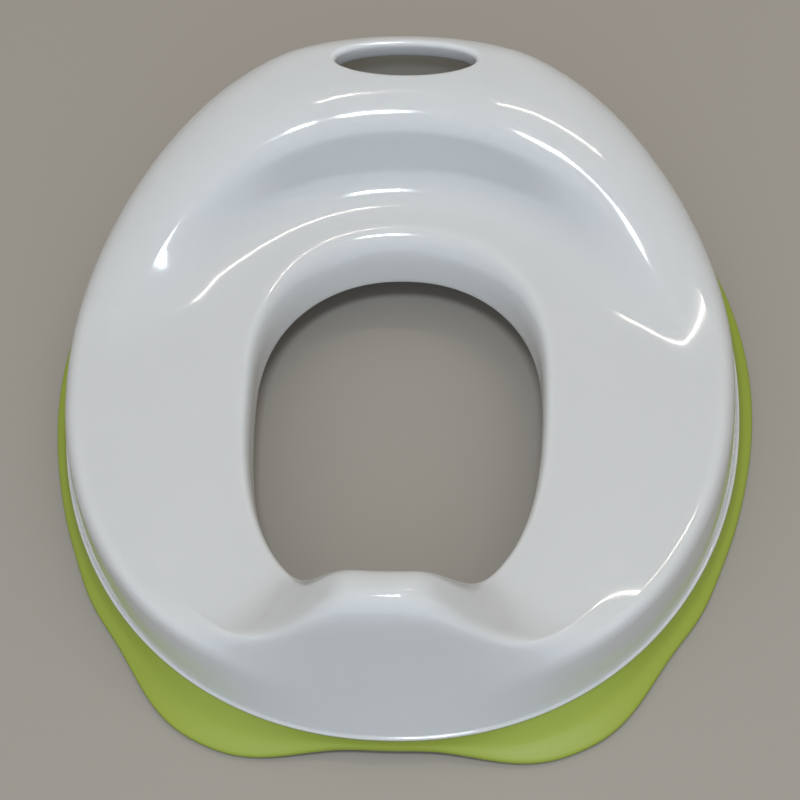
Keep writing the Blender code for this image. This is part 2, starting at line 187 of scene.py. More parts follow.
def rounded(stops, arc_steps, run_steps):
    """Points along (corner, before, after) stops, whose corners are parabolic arcs."""
    points = []
    for place, (corner, before, after) in enumerate(stops):
        back = ahead = Vector((0, 0))
        if place > 0:
            back = (stops[place - 1][0] - corner).normalized() * before
        if place < len(stops) - 1:
            ahead = (stops[place + 1][0] - corner).normalized() * after
        arc = [corner + back * (1 - s) ** 2 + ahead * s ** 2
               for s in (step / arc_steps for step in range(arc_steps + 1))]
        if before + after == 0:
            arc = [corner]
        if points:
            start = points[-1]
            points += [start.lerp(arc[0], step / run_steps) for step in range(1, run_steps)]
        points += arc
    return points


def seat_profile(turn, arc_steps=SEAT_ARC_STEPS, run_steps=SEAT_RUN_STEPS):
    """The outer face at a turn, from the opening's lip to the rim, as (reach, height)."""
    corners, across = section_corners(turn)
    lip = (Vector((0.0, LIP_HEIGHT)), 0, 0)
    root = (Vector((across - FLANGE_WIDTH, RIM_HEIGHT)), 0, 0)
    line = rounded([lip] + corners + [root], arc_steps, run_steps)
    return line + [Vector((across - FLANGE_WIDTH / 2, RIM_HEIGHT)), Vector((across, RIM_HEIGHT))]


def on_section(turn, point):
    """The place of a (reach, height) point of the section at a turn."""
    inner = opening_point(turn)
    outward = (rim_point(turn) - inner).normalized()
    return inner + outward * point.x + Vector((0, 0, point.y))


def station_turns(count):
    """Turns of the stations, closer together round the guard."""
    even = [2 * math.pi * place / count for place in range(count)]
    return [turn + FRONT_CROWDING * math.sin(turn) for turn in even]


def only(*pieces):
    """Back to object mode with only these pieces selected, the last one active."""
    if bpy.context.object and bpy.context.object.mode == "EDIT":
        bpy.ops.object.mode_set(mode="OBJECT")
    bpy.ops.object.select_all(action="DESELECT")
    for piece in pieces:
        piece.select_set(True)
        bpy.context.view_layer.objects.active = piece


def placed(name):
    """The primitive just added, named, with its place put into its mesh."""
    piece = bpy.context.object
    piece.name = piece.data.name = name
    bpy.ops.object.transform_apply(location=True, rotation=True, scale=True)
    return piece


def extruded_loops(name, rows):
    """An open skin: a circle whose edge loop is extruded from row to row of places."""
    only()
    bpy.ops.mesh.primitive_circle_add(vertices=len(rows[0]), radius=RIM_WIDTH / 2)
    skin = placed(name)
    bpy.ops.object.mode_set(mode="EDIT")
    mesh = bmesh.from_edit_mesh(skin.data)
    station = mesh.verts.layers.int.new("station")
    mesh.verts.layers.int.new("row")
    for place, vertex in enumerate(mesh.verts):
        vertex[station] = place
        vertex.co = rows[0][place]
    bmesh.update_edit_mesh(skin.data)
    for number, places in enumerate(rows[1:], 1):
        bpy.ops.mesh.extrude_edges_move()
        mesh = bmesh.from_edit_mesh(skin.data)
        station, row = (mesh.verts.layers.int[layer] for layer in ("station", "row"))
        for vertex in mesh.verts:
            if vertex.select:
                vertex.co = places[vertex[station]]
                vertex[row] = number
        bmesh.update_edit_mesh(skin.data)
    return skin


def pick(piece, kind, wanted):
    """Select just the edges or faces that are wanted, in edit mode."""
    bpy.ops.mesh.select_mode(type={"edges": "EDGE", "faces": "FACE"}[kind])
    bpy.ops.mesh.select_all(action="DESELECT")
    mesh = bmesh.from_edit_mesh(piece.data)
    for part in getattr(mesh, kind):
        if wanted(part):
            part.select = True
    mesh.select_flush_mode()
    bmesh.update_edit_mesh(piece.data)


def fuse(target, tools, operation):
    """Join tools to a piece or cut them out of it, and put the tools away."""
    only(*tools)
    if len(tools) > 1:
        bpy.ops.object.join()
    tool = bpy.context.object
    only(target)
    change = target.modifiers.new("fuse", "BOOLEAN")
    change.operation = operation
    change.solver = "MANIFOLD"
    change.object = tool
    bpy.ops.object.modifier_apply(modifier=change.name)
    bpy.data.objects.remove(tool)


seat_turns = station_turns(SEAT_STATIONS)
seat_profiles = [seat_profile(turn) for turn in seat_turns]
seat_rows = [[on_section(turn, profile[place]) for turn, profile in zip(seat_turns, seat_profiles)]
             for place in range(len(seat_profiles[0]))]
seat = extruded_loops("seat_moulding", seat_rows)

# The hand slot is an oval in the top of the back. Its edge rolls over and turns
# down inside as a short collar, so that fingers meet no sharp wall.
SLOT_HALF_LENGTH = 0.0350
SLOT_HALF_WIDTH = 0.0090
SLOT_INSET = 0.0300
SLOT_ROUNDING = 0.0028
SLOT_COLLAR_FOOT = 0.0925
SLOT_MARGIN = 0.0040
SLOT_PATCH_MARGIN = 0.0090
SLOT_BLEND_STEPS = 6
SLOT_ROUND_STEPS = 8
SLOT_COLLAR_STEPS = 3
SKIN_SEARCH = math.radians(45)
SKIN_HALVINGS = 30
SKIN_ARC_STEPS = 32
slot_middle = rim_point(0.0, SLOT_INSET)
near_slot = [number for number, places in enumerate(seat_rows)
             if places[0].z > SEAT_HEIGHT
             and abs(places[0].y - slot_middle.y) < SLOT_HALF_WIDTH + SLOT_PATCH_MARGIN]
patch_rows = (near_slot[0] - 1, near_slot[-1] + 1)
patch_stations = sum(abs(place.x) < SLOT_HALF_LENGTH + SLOT_PATCH_MARGIN and place.y > 0
                     for place in seat_rows[patch_rows[0]]) // 2 + 1


def skin_height(x, y):
    """Height of the back's outer face over a plan point."""
    low, high = -SKIN_SEARCH, SKIN_SEARCH
    for _ in range(SKIN_HALVINGS):
        turn = (low + high) / 2
        inner, outer = opening_point(turn), rim_point(turn)
        side = (outer.x - inner.x) * (y - inner.y) - (outer.y - inner.y) * (x - inner.x)
        low, high = (turn, high) if side < 0 else (low, turn)
    reach = math.hypot(x - inner.x, y - inner.y)
    line = seat_profile(turn, arc_steps=SKIN_ARC_STEPS, run_steps=1)
    for near, far in zip(line, line[1:]):
        if near.x <= reach <= far.x:
            return near.y + (far.y - near.y) * (reach - near.x) / (far.x - near.x)
    return line[-1].y


def in_slot_patch(face):
    """Is a face of the skin in the patch round the slot, which is made again?"""
    rows = [vertex[row_of] for vertex in face.verts]
    from_middle = [min(vertex[station_of], SEAT_STATIONS - vertex[station_of])
                   for vertex in face.verts]
    return (min(rows) >= patch_rows[0] and max(rows) <= patch_rows[1]
            and max(from_middle) <= patch_stations)


def slot_place(angle, margin, drop=0.0):
    """A place at an angle of the oval, some way outside it and under the skin."""
    x = slot_middle.x + (SLOT_HALF_LENGTH + margin) * math.cos(angle)
    y = slot_middle.y + (SLOT_HALF_WIDTH + margin) * math.sin(angle)
    return Vector((x, y, skin_height(x, y) - drop))


def slot_column(start):
    """The places that lead from the patch's edge to the oval and down its collar."""
    offset = start - slot_middle
    angle = math.atan2(offset.y / (SLOT_HALF_WIDTH + SLOT_MARGIN),
                       offset.x / (SLOT_HALF_LENGTH + SLOT_MARGIN))
    near = slot_place(angle, SLOT_MARGIN)
    column = [start.lerp(near, step / SLOT_BLEND_STEPS) for step in range(1, SLOT_BLEND_STEPS + 1)]
    for place in column:
        place.z = skin_height(place.x, place.y)
    for step in range(SLOT_ROUND_STEPS + 1):
        lean = math.pi / 2 * step / SLOT_ROUND_STEPS
        column.append(slot_place(angle, SLOT_ROUNDING * (1 - math.sin(lean)),
                                 SLOT_ROUNDING * (1 - math.cos(lean))))
    top = column[-1]
    foot = Vector((top.x, top.y, SLOT_COLLAR_FOOT))
    return column + [top.lerp(foot, step / SLOT_COLLAR_STEPS)
                     for step in range(1, SLOT_COLLAR_STEPS + 1)]


bpy.ops.object.mode_set(mode="EDIT")
mesh = bmesh.from_edit_mesh(seat.data)
station_of, row_of = (mesh.verts.layers.int[layer] for layer in ("station", "row"))
pick(seat, "faces", in_slot_patch)
bpy.ops.mesh.delete(type="FACE")
pick(seat, "edges", lambda edge: edge.is_boundary and all(
    vertex.co.z > SEAT_HEIGHT for vertex in edge.verts))
columns = {(vertex[station_of], vertex[row_of]): slot_column(vertex.co)
           for vertex in bmesh.from_edit_mesh(seat.data).verts if vertex.select}
for step in range(len(next(iter(columns.values())))):
    bpy.ops.mesh.extrude_edges_move()
    for vertex in bmesh.from_edit_mesh(seat.data).verts:
        if vertex.select:
            vertex.co = columns[vertex[station_of], vertex[row_of]][step]
    bmesh.update_edit_mesh(seat.data)
bpy.ops.mesh.select_all(action="SELECT")
bpy.ops.mesh.normals_make_consistent(inside=False)
mesh = bmesh.from_edit_mesh(seat.data)
if max(mesh.faces, key=lambda face: face.calc_center_median().z).normal.z < 0:
    bpy.ops.mesh.flip_normals()
only(seat)

# So far the seat is only its outer face. The wall grows inward from that, and its
# edges at the lip, the rim and the collar's foot are rounded, as a mould leaves them.
SEAT_WALL = 0.0025
EDGE_ROUNDING = 0.0008
EDGE_SEGMENTS = 3
SHARP_ANGLE = math.radians(45)
CLEARANCE = 0.0003
wall = seat.modifiers.new("wall", "SOLIDIFY")
wall.thickness = SEAT_WALL
wall.offset = -1.0
bpy.ops.object.modifier_apply(modifier="wall")
bpy.ops.object.mode_set(mode="EDIT")
pick(seat, "edges", lambda edge: edge.calc_face_angle(0.0) > SHARP_ANGLE and all(
    vertex.co.z < LIP_HEIGHT + CLEARANCE or abs(vertex.co.z - SLOT_COLLAR_FOOT) < CLEARANCE
    for vertex in edge.verts))
bpy.ops.mesh.bevel(offset=EDGE_ROUNDING, segments=EDGE_SEGMENTS, profile=0.5,
                   clamp_overlap=False)
only(seat)

# Under the deck stand four round posts that the base's screws bite in, and inside
# the back wall two ribs that the base's hooks snap over, all moulded on the seat.
OVERRUN = 0.0020
PAD_DROP = 0.0010
SCREW_TURNS = [math.radians(turn) for turn in (80, 136, 224, 280)]
SCREW_INSET = 0.0270
SCREW_RADIUS = 0.0019
SCREW_LENGTH = 0.0150
SCREW_HEAD_RADIUS = 0.0040
SCREW_HEAD_HEIGHT = 0.0022
SCREW_SEAT = PAD_DROP + SCREW_HEAD_HEIGHT + OVERRUN
SCREW_FLOOR = 0.0025
POST_RADIUS = 0.0050
POST_FOOT = SCREW_SEAT + SCREW_FLOOR + CLEARANCE
POST_SIDES = 48
HOOK_TURNS = [math.radians(turn) for turn in (28, 332)]
HOOK_WIDTH = 0.0160
HOOK_BARB = 0.0020
UPSTAND_INSET = 0.0090
UPSTAND_RISE = 0.0050
SMOOTH_ANGLE = math.radians(40)


def upright(name, middle, radius, low, high):
    """A round bar on a plan point, between two levels."""
    only()
    bpy.ops.mesh.primitive_cylinder_add(vertices=POST_SIDES, radius=radius, depth=high - low,
                                        location=(middle.x, middle.y, (low + high) / 2))
    return placed(name)


def crosswise(name, turn, inner, outer, low, high, width):
    """A square bar at a turn, between two reaches and two levels, wide along the ring."""
    only()
    middle = around(turn, (inner + outer) / 2)
    bpy.ops.mesh.primitive_cube_add(size=1, scale=(width, outer - inner, high - low),
                                    location=(middle.x, middle.y, (low + high) / 2),
                                    rotation=(0, 0, -turn))
    return placed(name)


def wall_level(turn, inset):
    """The middle of the seat's wall over the section's point at an inset from the rim."""
    line = seat_profile(turn)
    for near, far in zip(line, line[1:]):
        if near.x <= line[-1].x - inset <= far.x:
            return (near.y + far.y) / 2 - SEAT_WALL / 2


def smooth(piece):
    """Smooth shading, except over edges sharper than the smooth angle."""
    only(piece)
    bpy.ops.object.shade_smooth_by_angle(angle=SMOOTH_ANGLE)


posts = [upright("post", rim_point(turn, SCREW_INSET), POST_RADIUS, POST_FOOT,
                 wall_level(turn, SCREW_INSET)) for turn in SCREW_TURNS]
catches = [crosswise("catch", turn, rim_reach(turn) - UPSTAND_INSET + CLEARANCE,
                     rim_reach(turn) - FLANGE_WIDTH - SEAT_WALL, RIM_HEIGHT + UPSTAND_RISE,
                     RIM_HEIGHT + UPSTAND_RISE + HOOK_BARB, HOOK_WIDTH) for turn in HOOK_TURNS]
fuse(seat, posts + catches, "UNION")
bores = [upright("bore", rim_point(turn, SCREW_INSET), SCREW_RADIUS + CLEARANCE,
                 POST_FOOT - OVERRUN, SCREW_SEAT + SCREW_LENGTH + OVERRUN)
         for turn in SCREW_TURNS]
fuse(seat, bores, "DIFFERENCE")
smooth(seat)


class Tone:
    """A socket of a finish. Sums on it become Math nodes of the same finish."""

    def __init__(self, socket):
        self.socket = socket

    def node(self, kind, settings, inputs, output=0):
        """Any other node, set up and fed with values or tones, and what it gives."""
        tree = self.socket.id_data
        made = tree.nodes.new("ShaderNode" + kind)
        for name, setting in settings.items():
            setattr(made, name, setting)
        for place, value in inputs.items():
            if isinstance(value, Tone):
                tree.links.new(value.socket, made.inputs[place])
            else:
                made.inputs[place].default_value = value
        return Tone(made.outputs[output])

    def sum(self, operation, *values):
        return self.node("Math", {"operation": operation}, dict(enumerate(values)))

    def __add__(self, other):
        return self.sum("ADD", self, other)

    def __sub__(self, other):
        return self.sum("SUBTRACT", self, other)

    def __rsub__(self, other):
        return self.sum("SUBTRACT", other, self)

    def __mul__(self, other):
        return self.sum("MULTIPLY", self, other)

    __radd__ = __add__
    __rmul__ = __mul__

    def noise(self, scale, detail=2.0, stretch=None):
        """A cloudy pattern from 0 to 1, with so many features to the metre."""
        place = self
        if stretch:
            place = self.node("VectorMath", {"operation": "MULTIPLY"}, {0: self, 1: stretch})
        return place.node("TexNoise", {}, {"Vector": place, "Scale": scale, "Detail": detail})

    def step(self, low, high):
        """0 below one value of this pattern, 1 above the other, and smooth between."""
        return self.node("MapRange", {"interpolation_type": "SMOOTHSTEP"},
                         {"Value": self, "From Min": low, "From Max": high})

    def between(self, first, second):
        """From the first colour to the second as this goes from 0 to 1."""
        return self.node("Mix", {"data_type": "RGBA"}, {0: self, 6: first, 7: second}, 2)


class Finish:
    """A named material: its shader's constants, and the tones that change over it."""

    def __init__(self, name, **constants):
        self.material = bpy.data.materials.new(name)
        self.material.use_nodes = True
        self.shader = self.material.node_tree.nodes["Principled BSDF"]
        for socket, value in constants.items():
            self.shader.inputs[socket.replace("_", " ")].default_value = value
        coordinates = self.material.node_tree.nodes.new("ShaderNodeTexCoord")
        self.place = Tone(coordinates.outputs["Object"])

    def feed(self, socket, tone):
        self.material.node_tree.links.new(tone.socket, self.shader.inputs[socket])

    def relief(self, height, depth):
        """Bumps up to a depth in metres where the height tone goes from 0 to 1."""
        self.feed("Normal", height.node("Bump", {}, {"Distance": depth, "Height": height}))

    def put_on(self, piece):
        piece.data.materials.clear()
        piece.data.materials.append(self.material)


WHITE = (0.600, 0.598, 0.590, 1.0)
WHITE_DULL = (0.572, 0.572, 0.568, 1.0)
CLOUD_SHARE = 0.8
WHITE_ROUGHNESS = 0.09
SMEAR_ROUGHNESS = 0.05
HAIRLINE_ROUGHNESS = 0.05
SPECK_RELIEF = 0.03
HAIRLINE_RELIEF = 0.02
WHITE_RELIEF = 0.00006
gloss = Finish("white_gloss_plastic", Coat_Weight=0.4, Coat_Roughness=0.03,
               Subsurface_Weight=0.8, Subsurface_Scale=0.010,
               Subsurface_Radius=(1.0, 0.95, 0.9))
clouds = gloss.place.noise(scale=11.0, detail=3.0)
specks = gloss.place.noise(scale=900.0, detail=1.0)
ripples = gloss.place.noise(scale=24.0, detail=1.0)
hairlines = gloss.place.noise(scale=46.0, stretch=(1.0, 30.0, 1.0)).step(low=0.66, high=0.74)
smears = gloss.place.noise(scale=30.0, detail=4.0).step(low=0.50, high=0.75)
mottle = clouds * CLOUD_SHARE + specks * (1 - CLOUD_SHARE)
gloss.feed("Base Color", mottle.between(WHITE_DULL, WHITE))
gloss.feed("Roughness",
           WHITE_ROUGHNESS + smears * SMEAR_ROUGHNESS + hairlines * HAIRLINE_ROUGHNESS)
gloss.relief(ripples + specks * SPECK_RELIEF + hairlines * HAIRLINE_RELIEF, WHITE_RELIEF)
gloss.put_on(seat)
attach(seat, "root")
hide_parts("seat_shell")

# The base ring: one satin green moulding under the rim flange. Its skirt flares out
# to a rounded bead, with two front feet and a low arch between them. Inside it has
# an upstand that centres the seat, and a floor for the pads and screws.
RING_WALL = 0.0028
RING_OVERHANG = 0.0083
WAIST_OVERHANG = 0.0060
WAIST_TURNS = (math.radians(82), math.radians(112))
FOOT_REACH = 0.0119
FOOT_TURN = math.radians(153.5)
FOOT_SPREAD = (0.0, math.radians(24))
FOOT_ROOT = (math.radians(50), math.radians(66))
FRONT_OVERHANG = 0.0018
FRONT_SPREAD = (0.0, math.radians(36))
ARCH_HEIGHT = 0.0047
ARCH_SPREAD = (0.0, math.radians(26))
BEAD_HEIGHT = 0.0032
SKIRT_SETBACK = 0.0008
SKIRT_HOLLOW = (0.35, 0.30)
RING_FLOOR = 0.0035
RING_FLOOR_WIDTH = 0.0360
RING_STIFFENER = 0.0045
RING_ARC_STEPS = 4
RING_RUN_STEPS = 2
MERGE_DISTANCE = 0.00001


def ring_overhang(turn):
    """How far the ring's foot stands out past the rim: most at the two front feet."""
    foot = faded(abs(from_rear(turn) - FOOT_TURN), FOOT_SPREAD)
    wide = faded(from_rear(turn), WAIST_TURNS) + faded(from_front(turn), FOOT_ROOT)
    flush = faded(from_front(turn), FRONT_SPREAD)
    plain = WAIST_OVERHANG + (RING_OVERHANG - WAIST_OVERHANG) * wide
    return plain + (FRONT_OVERHANG - plain) * flush + FOOT_REACH * foot


def ring_row(turn):
    """One closed section of the ring as places, from the middle of its ledge round."""
    foot = PAD_DROP + ARCH_HEIGHT * faded(from_front(turn), ARCH_SPREAD)
    over = ring_overhang(turn)
    ledge = RIM_HEIGHT - SEAT_WALL - CLEARANCE
    floor = PAD_DROP + RING_FLOOR
    heel = UPSTAND_INSET + RING_WALL
    end = heel + RING_FLOOR_WIDTH
    bead = Vector((over, foot + BEAD_HEIGHT))
    top = Vector((-SKIRT_SETBACK, ledge))
    slope = top - bead
    hollow = Vector((top.x - slope.x * SKIRT_HOLLOW[0], bead.y + slope.y * SKIRT_HOLLOW[1]))
    inside = hollow - Vector((slope.y, -slope.x)).normalized() * RING_WALL
    fine, soft = RING_WALL / 5, RING_WALL / 3
    stops = [
        (Vector((-UPSTAND_INSET / 2, ledge)), 0, 0),
        (Vector((-UPSTAND_INSET, ledge)), fine, fine),
        (Vector((-UPSTAND_INSET, ledge + UPSTAND_RISE)), soft, soft),
        (Vector((-heel, ledge + UPSTAND_RISE)), soft, soft),
        (Vector((-heel, floor)), soft, soft),
        (Vector((-end + RING_WALL, floor)), soft, soft),
        (Vector((-end + RING_WALL, floor + RING_STIFFENER)), soft, soft),
        (Vector((-end, floor + RING_STIFFENER)), soft, soft),
        (Vector((-end, PAD_DROP)), soft, soft),
        (Vector((-UPSTAND_INSET, PAD_DROP)), soft, soft),
        (Vector((-UPSTAND_INSET, ledge - RING_WALL)), soft, soft),
        (Vector((top.x - RING_WALL, ledge - RING_WALL)), soft, soft),
        (inside, soft, soft),
        (Vector((over - RING_WALL - BEAD_HEIGHT / 2, foot)), fine, fine),
        (Vector((over, foot)), BEAD_HEIGHT / 2, BEAD_HEIGHT / 2),
        (bead, BEAD_HEIGHT / 2, BEAD_HEIGHT / 2),
        (hollow, slope.length * SKIRT_HOLLOW[1] / 2, slope.length * SKIRT_HOLLOW[0]),
        (top, fine, fine),
        (Vector((-UPSTAND_INSET / 2, ledge)), 0, 0),
    ]
    outward = around(turn, 1.0)
    line = rounded(stops, RING_ARC_STEPS, RING_RUN_STEPS)[:-1]
    return [outward * (rim_reach(turn) + point.x) + Vector((0, 0, point.y)) for point in line]


ring_rows = list(zip(*[ring_row(turn) for turn in seat_turns]))
ring = extruded_loops("base_moulding", ring_rows)
bpy.ops.object.mode_set(mode="EDIT")
pick(ring, "edges", lambda edge: edge.is_boundary)
bpy.ops.mesh.bridge_edge_loops()
bpy.ops.mesh.select_all(action="SELECT")
bpy.ops.mesh.remove_doubles(threshold=MERGE_DISTANCE)
bpy.ops.mesh.normals_make_consistent(inside=False)
only(ring)

# What stands on the ring's floor: a boss under each of the seat's posts, and two
# springy hooks on the upstand. Below it are the screws' counterbores, and pockets
# and holes that the rubber pads push into.
PAD_TURNS = [math.radians(turn) for turn in (24, 62, 108, 252, 298, 336)]
PAD_INSET = 0.0270
PAD_LENGTH = 0.0320
PAD_WIDTH = 0.0100
PAD_SEAT_DEPTH = 0.0017
PAD_STEM_RADIUS = 0.0022
PAD_HEAD_RADIUS = 0.0034
PAD_HEAD_HEIGHT = 0.0016
PAD_END_STEPS = 8
PAD_END_FLAT = 0.00003
FACING = 0.9


def round_ended(name, turn, length, width, low, high):
    """A flat bar with round ends, at the pads' inset, long along the ring."""
    middle = around(0.0, rim_reach(turn) - PAD_INSET).y
    bar = crosswise(name, turn, middle - width / 2, middle + width / 2, low, high, length)
    bpy.ops.object.mode_set(mode="EDIT")
    pick(bar, "edges", lambda edge: abs(edge.verts[0].co.z - edge.verts[1].co.z) > high - low
         - CLEARANCE)
    bpy.ops.mesh.bevel(offset=width / 2 - PAD_END_FLAT, segments=PAD_END_STEPS)
    only(bar)
    return bar


def hook(turn):
    """A tongue on the upstand with a barb near its top, which snaps over a catch."""
    face = rim_reach(turn) - UPSTAND_INSET
    root = RIM_HEIGHT - SEAT_WALL - CLEARANCE - RING_WALL / 2
    barb = RIM_HEIGHT + UPSTAND_RISE + HOOK_BARB + CLEARANCE
    tongue = crosswise("hook", turn, face - RING_WALL, face, root, barb + HOOK_BARB,
                       HOOK_WIDTH - 2 * RING_WALL)
    outward = around(turn, 1.0)
    bpy.ops.object.mode_set(mode="EDIT")
    bpy.ops.mesh.select_all(action="SELECT")
    bpy.ops.mesh.bisect(plane_co=(0, 0, barb), plane_no=(0, 0, 1))
    pick(tongue, "faces", lambda part: part.normal.dot(outward) > FACING
         and part.calc_center_median().z > barb)
    bpy.ops.mesh.extrude_region_move(
        TRANSFORM_OT_translate={"value": outward * HOOK_BARB})
    pick(tongue, "edges", lambda edge: all(
        vertex.co.z > barb + CLEARANCE and vertex.co.dot(outward) > face + CLEARANCE
        for vertex in edge.verts))
    bpy.ops.transform.translate(value=-outward * (HOOK_BARB - CLEARANCE))
    only(tongue)
    return tongue


bosses = [upright("boss", rim_point(turn, SCREW_INSET), SCREW_HEAD_RADIUS + RING_WALL,
                  PAD_DROP + RING_FLOOR / 2, SCREW_SEAT + SCREW_FLOOR) for turn in SCREW_TURNS]
fuse(ring, bosses + [hook(turn) for turn in HOOK_TURNS], "UNION")
holes = [upright("hole", rim_point(turn, SCREW_INSET), SCREW_RADIUS + CLEARANCE,
                 PAD_DROP - OVERRUN, SCREW_SEAT + SCREW_FLOOR + OVERRUN) for turn in SCREW_TURNS]
holes += [upright("hole", rim_point(turn, PAD_INSET), PAD_STEM_RADIUS + CLEARANCE,
                  PAD_DROP - OVERRUN, PAD_DROP + RING_FLOOR + OVERRUN) for turn in PAD_TURNS]
fuse(ring, holes, "DIFFERENCE")
sinks = [upright("sink", rim_point(turn, SCREW_INSET), SCREW_HEAD_RADIUS + CLEARANCE,
                 PAD_DROP - OVERRUN, SCREW_SEAT) for turn in SCREW_TURNS]
sinks += [round_ended("pocket", turn, PAD_LENGTH + 2 * CLEARANCE, PAD_WIDTH + 2 * CLEARANCE,
                      PAD_DROP - OVERRUN, PAD_DROP + PAD_SEAT_DEPTH) for turn in PAD_TURNS]
fuse(ring, sinks, "DIFFERENCE")
smooth(ring)
GREEN = (0.268, 0.332, 0.034, 1.0)
GREEN_DULL = (0.241, 0.301, 0.031, 1.0)
FLOW_SHARE = 0.7
GREEN_ROUGHNESS = 0.40
GRAIN_ROUGHNESS = 0.08
SCUFF_POLISH = 0.06
GRAIN_RELIEF = 0.6
GREEN_RELIEF = 0.00006
satin = Finish("green_satin_plastic")
flow = satin.place.noise(scale=16.0, detail=3.0)
grain = satin.place.noise(scale=1400.0)
scuffs = satin.place.noise(scale=60.0, detail=4.0).step(low=0.55, high=0.75)
streaks = flow * FLOW_SHARE + grain * (1 - FLOW_SHARE)
satin.feed("Base Color", streaks.between(GREEN_DULL, GREEN))
satin.feed("Roughness", GREEN_ROUGHNESS + grain * GRAIN_ROUGHNESS - scuffs * SCUFF_POLISH)
satin.relief(grain * GRAIN_RELIEF + flow, GREEN_RELIEF)
satin.put_on(ring)
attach(ring, "root")
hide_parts("base_ring")

# Six pads of grey rubber keep the seat from sliding. Each is a round-ended bar with
# fine ribs underneath, and a stem whose mushroom head holds it in the ring's floor.
PAD_EDGE = 0.0004
PAD_RIBS = 9
PAD_RIB_DEPTH = 0.0004
SQUARE_ON = 0.99


def grip_pad(number, turn):
    """One pad in its pocket, ribbed across below."""
    top = PAD_DROP + PAD_SEAT_DEPTH - CLEARANCE
    pad = round_ended(f"rubber_pad_{number}", turn, PAD_LENGTH, PAD_WIDTH, 0.0, top)
    middle = rim_point(turn, PAD_INSET)
    along = around(turn + math.pi / 2, 1.0)
    run = PAD_LENGTH - PAD_WIDTH
    bpy.ops.object.mode_set(mode="EDIT")
    pick(pad, "edges", lambda edge: abs(edge.verts[0].co.z - edge.verts[1].co.z) < PAD_EDGE
         and edge.calc_face_angle(0.0) > SHARP_ANGLE)
    bpy.ops.mesh.bevel(offset=PAD_EDGE, segments=EDGE_SEGMENTS)
    pitch = run / (PAD_RIBS + 0.5)
    starts = [middle + along * (rib * pitch - run / 2 + pitch / 4) for rib in range(PAD_RIBS + 1)]
    for start in starts:
        for edge_place in (start, start + along * pitch / 2):
            bpy.ops.mesh.select_all(action="SELECT")
            bpy.ops.mesh.bisect(plane_co=edge_place, plane_no=along)
    grooves = [(start + along * pitch / 4).dot(along) for start in starts]
    pick(pad, "faces", lambda part: part.normal.z < -SQUARE_ON and any(
        abs(part.calc_center_median().dot(along) - groove) < pitch / 8 for groove in grooves))
    bpy.ops.mesh.extrude_region_move(TRANSFORM_OT_translate={"value": (0, 0, PAD_RIB_DEPTH)})
    only(pad)
    low = PAD_DROP + RING_FLOOR + CLEARANCE
    stem = upright("stem", middle, PAD_STEM_RADIUS, top / 2, low + PAD_HEAD_HEIGHT / 2)
    head = upright("head", middle, PAD_HEAD_RADIUS, low, low + PAD_HEAD_HEIGHT)
    bpy.ops.object.mode_set(mode="EDIT")
    pick(head, "faces", lambda part: part.normal.z > FACING)
    bpy.ops.transform.resize(value=(PAD_STEM_RADIUS / PAD_HEAD_RADIUS,) * 2 + (1,))
    only(head)
    fuse(pad, [stem], "UNION")
    fuse(pad, [head], "UNION")
    smooth(pad)
    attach(pad, "root")
    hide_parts(f"grip_pad_{number}")
    rubber.put_on(pad)


RUBBER = (0.060, 0.060, 0.062, 1.0)
RUBBER_DUSTY = (0.120, 0.118, 0.112, 1.0)
RUBBER_ROUGHNESS = 0.72
DUST_ROUGHNESS = 0.2
RUBBER_RELIEF = 0.00004
rubber = Finish("grey_rubber", Specular_IOR_Level=0.3)
dust = rubber.place.noise(scale=120.0, detail=5.0)
rubber.feed("Base Color", dust.step(low=0.45, high=0.75).between(RUBBER, RUBBER_DUSTY))
rubber.feed("Roughness", RUBBER_ROUGHNESS + dust * DUST_ROUGHNESS)
rubber.relief(rubber.place.noise(scale=2600.0), RUBBER_RELIEF)
for number, turn in enumerate(PAD_TURNS, 1):
    grip_pad(number, turn)

# Four zinc-plated pan-head screws with a cross recess, driven from below through
# the ring's bosses into the posts. A coarse thread for plastic runs up the shank.
SCREW_CORE_RADIUS = 0.0014
SCREW_PITCH = 0.0016
SCREW_HEAD_ROUNDING = 0.0008
SCREW_HEAD_STEPS = 5
SCREW_TIP = 0.0030
SCREW_TIP_SHARE = 0.1
CROSS_LENGTH = 0.0046
CROSS_WIDTH = 0.0010
CROSS_DEPTH = 0.0012
CROSS_TAPER = 0.5
THREAD_STEPS = 16


